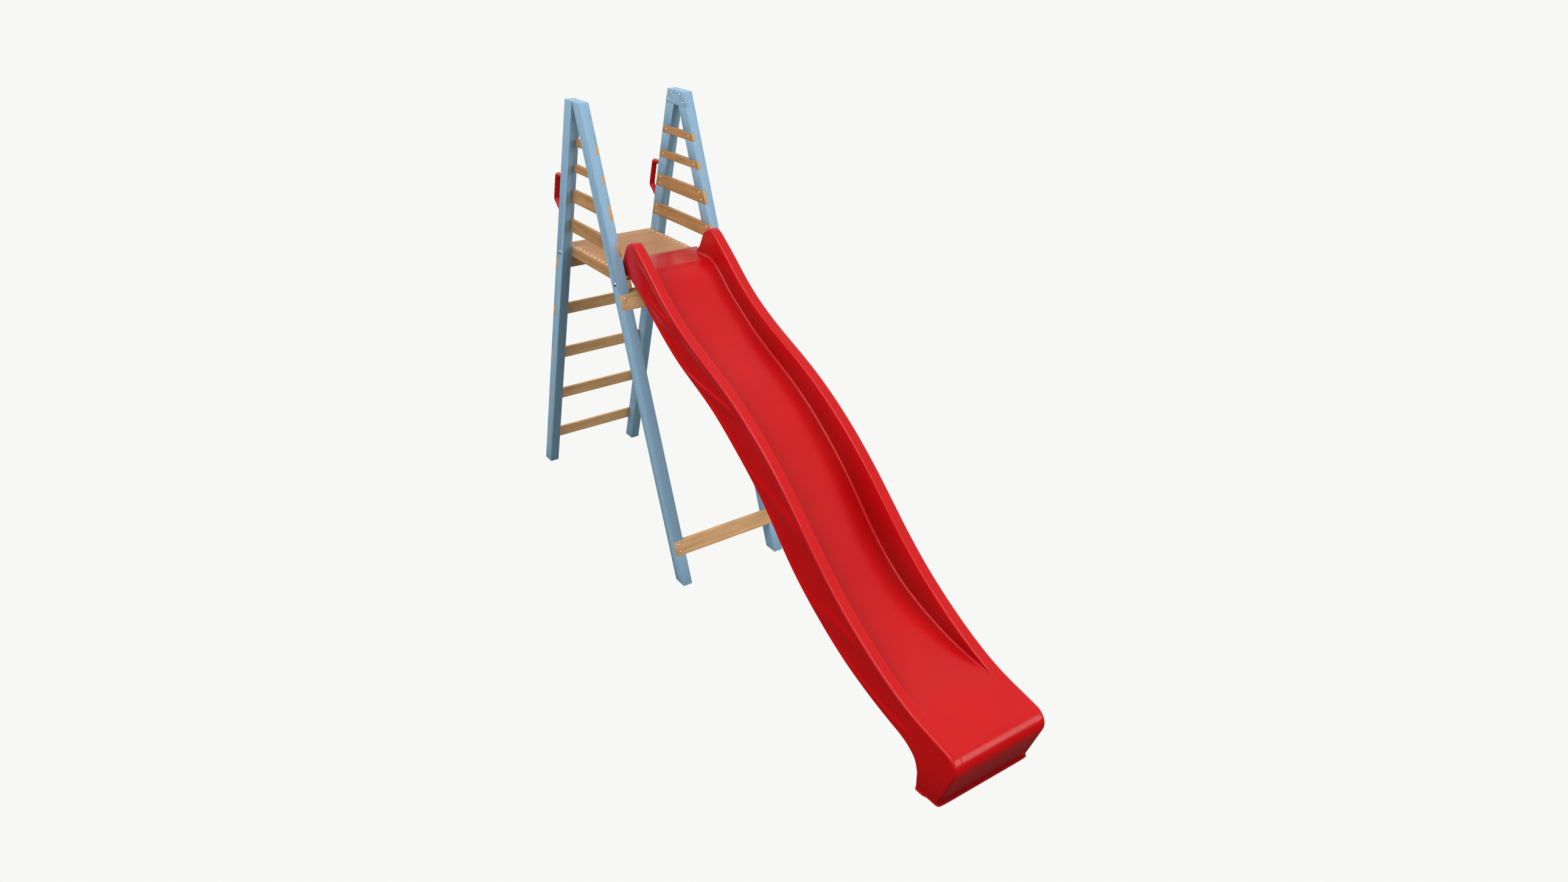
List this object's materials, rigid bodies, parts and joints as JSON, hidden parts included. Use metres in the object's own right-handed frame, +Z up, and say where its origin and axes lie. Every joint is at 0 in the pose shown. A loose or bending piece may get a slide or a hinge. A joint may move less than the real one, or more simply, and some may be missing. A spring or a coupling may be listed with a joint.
{
  "type": "straight slide",
  "caption": "Garden slide: a wavy moulded trough slide down from the deck of a timber A-frame tower with ladder rungs, guard rails and hand grips.",
  "frame": {"origin": "centre of the overall box on the ground, in the middle plane of the slide", "axes": "+X the way down the slide, +Y the left side for a child on it, +Z up"},
  "size_m": [3.3319, 0.5668, 2.0776],
  "materials": {
    "blue_stained_pine": "planed pine under an opaque blue-grey wood stain",
    "tan_pine": "pressure-treated planed pine, warm tan",
    "deck_pine": "pressure-treated planed pine deck boards",
    "red_slide_plastic": "glossy moulded red polyethylene",
    "red_grip_plastic": "glossy moulded red plastic",
    "zinc_screws": "bright zinc-plated steel, round heads",
    "zinc_bolts": "bright zinc-plated steel"
  },
  "bodies": {
    "root": {"rear_post_left": "blue_stained_pine", "front_post_left": "blue_stained_pine", "rear_post_right": "blue_stained_pine", "front_post_right": "blue_stained_pine", "apex_gusset_left": "blue_stained_pine", "apex_gusset_right": "blue_stained_pine", "guard_rail_left_1": "tan_pine", "guard_rail_left_2": "tan_pine", "guard_rail_left_3": "tan_pine", "guard_rail_left_4": "tan_pine", "guard_rail_right_1": "tan_pine", "guard_rail_right_2": "tan_pine", "guard_rail_right_3": "tan_pine", "guard_rail_right_4": "tan_pine", "rung_1": "tan_pine", "rung_2": "tan_pine", "rung_3": "tan_pine", "rung_4": "tan_pine", "rung_5": "tan_pine", "front_cross_board": "tan_pine", "slide_support_board": "tan_pine", "slide_batten": "tan_pine", "deck_joist_left": "tan_pine", "deck_joist_right": "tan_pine", "deck_board_1": "deck_pine", "deck_board_2": "deck_pine", "deck_board_3": "deck_pine", "deck_board_4": "deck_pine", "deck_board_5": "deck_pine", "deck_board_6": "deck_pine", "deck_board_7": "deck_pine", "deck_board_8": "deck_pine", "slide": "red_slide_plastic", "handle_left": "red_grip_plastic", "handle_right": "red_grip_plastic", "rung_screws": "zinc_screws", "cross_board_screws": "zinc_screws", "support_board_screws": "zinc_screws", "batten_screws": "zinc_screws", "deck_screws": "zinc_screws", "guard_rail_screws": "zinc_screws", "gusset_screws": "zinc_screws", "slide_screws": "zinc_screws", "handle_screws": "zinc_screws", "carriage_bolts": "zinc_bolts", "bolt_washers": "zinc_bolts", "bolt_nuts": "zinc_bolts"}
  },
  "joints": []
}
